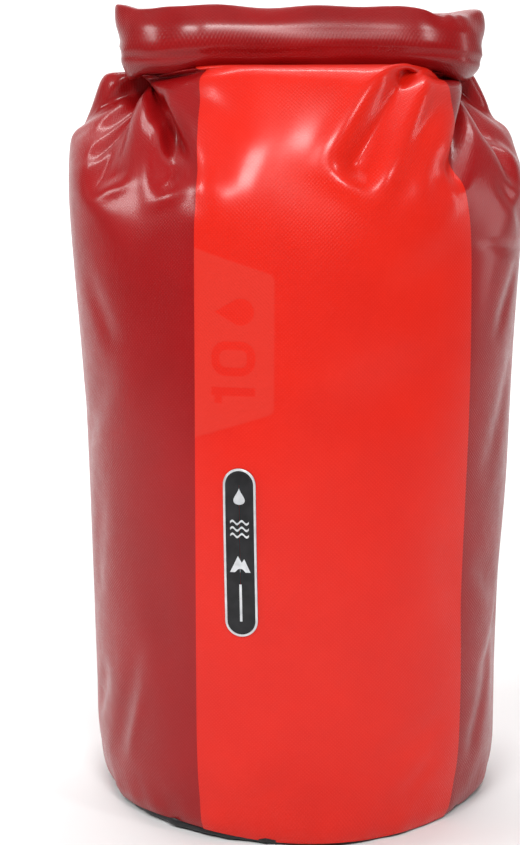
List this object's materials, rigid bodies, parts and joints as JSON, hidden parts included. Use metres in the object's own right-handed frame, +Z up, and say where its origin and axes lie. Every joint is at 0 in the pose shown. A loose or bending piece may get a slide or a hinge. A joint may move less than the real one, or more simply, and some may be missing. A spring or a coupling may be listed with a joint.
{
  "type": "dry bag",
  "caption": "Roll-top waterproof fabric bag, filled and closed, with its rolled mouth bent back into a loop and buckled behind.",
  "frame": {"origin": "middle of the flat base, on the ground", "axes": "+Z up along the bag, -Y out of the bright front panel, +X to the right seen from the front"},
  "size_m": [0.2106, 0.1964, 0.376],
  "materials": {
    "fabric_bright": "satin gloss PVC-coated weave, bright red",
    "fabric_dark": "satin gloss PVC-coated weave, cranberry red",
    "fabric_roll": "satin gloss PVC-coated weave, cranberry red",
    "base_fabric": "heavy matt coated weave, black",
    "badge_rubber": "thin moulded badge, black with a silver edge",
    "stiffener_plastic": "extruded strip, black",
    "lip_rubber": "soft coated strip, black",
    "webbing": "woven tape, black",
    "thread": "bonded sewing thread, black",
    "buckle_socket_plastic": "moulded acetal, fine spark texture, black",
    "buckle_plug_plastic": "moulded acetal, fine spark texture, black"
  },
  "bodies": {
    "bag": {"front_panel": "fabric_bright", "body_panel": "fabric_dark", "base_panel": "base_fabric", "badge": "badge_rubber", "roll_centre": "fabric_roll", "mouth_stiffener_centre": "stiffener_plastic", "sealing_lip_centre": "lip_rubber"},
    "right_end": {"roll_right": "fabric_roll", "mouth_stiffener_right": "stiffener_plastic", "sealing_lip_right": "lip_rubber", "webbing_tab_right": "webbing", "tab_stitching_right": "thread"},
    "left_end": {"roll_left": "fabric_roll", "mouth_stiffener_left": "stiffener_plastic", "sealing_lip_left": "lip_rubber", "webbing_tab_left": "webbing", "tab_stitching_left": "thread"},
    "plug": {"buckle_plug": "buckle_plug_plastic"},
    "socket": {"buckle_socket": "buckle_socket_plastic"},
    "upper_arm": {"release_arm_upper": "buckle_plug_plastic"},
    "lower_arm": {"release_arm_lower": "buckle_plug_plastic"}
  },
  "joints": [
    {"name": "loop_open", "type": "hinge", "parent": "bag", "child": "right_end", "pos_m": [0.046, -0.021, 0.361], "axis": [0, 0, -1], "range_deg": [0, 20], "deforming": ["release_arm_upper", "release_arm_lower"]},
    {"name": "loop_open_left", "type": "hinge", "parent": "bag", "child": "left_end", "pos_m": [-0.046, -0.021, 0.361], "axis": [0, 0, 1], "range_deg": [0, 20]},
    {"name": "plug_pivot", "type": "hinge", "parent": "right_end", "child": "plug", "pos_m": [0.023, 0.048, 0.361], "axis": [0, 0, 1], "range_deg": [0, 20]},
    {"name": "socket_pivot", "type": "hinge", "parent": "left_end", "child": "socket", "pos_m": [-0.023, 0.048, 0.361], "axis": [0, 0, -1], "range_deg": [0, 20]},
    {"name": "squeeze_upper", "type": "hinge", "parent": "plug", "child": "upper_arm", "pos_m": [0.009, 0.048, 0.371], "axis": [0, -1, 0], "range_deg": [0, 11], "stiffness_Nm_per_rad": 0.3},
    {"name": "squeeze_lower", "type": "hinge", "parent": "plug", "child": "lower_arm", "pos_m": [0.009, 0.048, 0.351], "axis": [0, 1, 0], "range_deg": [0, 11], "stiffness_Nm_per_rad": 0.3}
  ],
  "couplings": [
    {"joint": "loop_open_left", "follows": "loop_open", "ratio": 1},
    {"joint": "plug_pivot", "follows": "loop_open", "ratio": 1},
    {"joint": "socket_pivot", "follows": "loop_open", "ratio": 1},
    {"joint": "squeeze_lower", "follows": "squeeze_upper", "ratio": 1}
  ]
}
